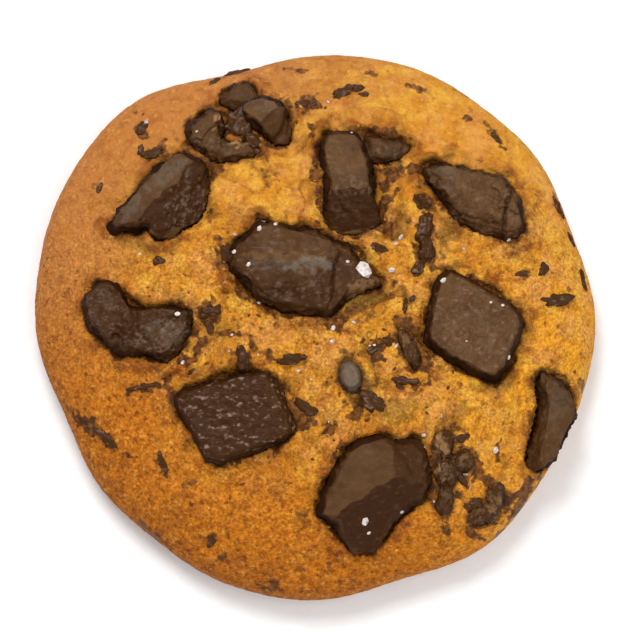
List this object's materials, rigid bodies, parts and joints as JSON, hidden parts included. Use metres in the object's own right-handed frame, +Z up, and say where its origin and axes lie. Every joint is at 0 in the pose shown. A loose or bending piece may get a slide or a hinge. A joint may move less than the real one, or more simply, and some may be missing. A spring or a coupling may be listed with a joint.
{
  "type": "chocolate chunk cookie",
  "caption": "Round domed baked cookie with a flat base, dark chocolate chunks and melted pieces set into its top, and flakes of salt.",
  "frame": {"origin": "middle of the cookie's bounding box, on the surface it lies on", "axes": "+Z up through the cookie's thickness, +Y away from the viewer of the picture, +X to the right"},
  "size_m": [0.0814, 0.0794, 0.0199],
  "materials": {
    "dough": "baked cookie dough, matt and finely pitted, golden in the middle and browner towards the rim",
    "chocolate": "dark chocolate that has melted and set again, satin, with a slight bloom"
  },
  "bodies": {
    "root": {"chunk_bottom": "chocolate", "chunk_left": "chocolate", "chunk_lower_left": "chocolate", "chunk_middle": "chocolate", "chunk_right": "chocolate", "chunk_right_edge": "chocolate", "chunk_top": "chocolate", "chunk_top_left": "chocolate", "chunk_top_left_inner": "chocolate", "chunk_upper_left": "chocolate", "chunk_upper_right": "chocolate", "dough": "dough", "melt_edge_right": "chocolate", "melt_lower_right": "chocolate", "piece_middle": "chocolate", "sliver_middle_right": "chocolate", "sliver_upper_right": "chocolate"}
  },
  "joints": []
}
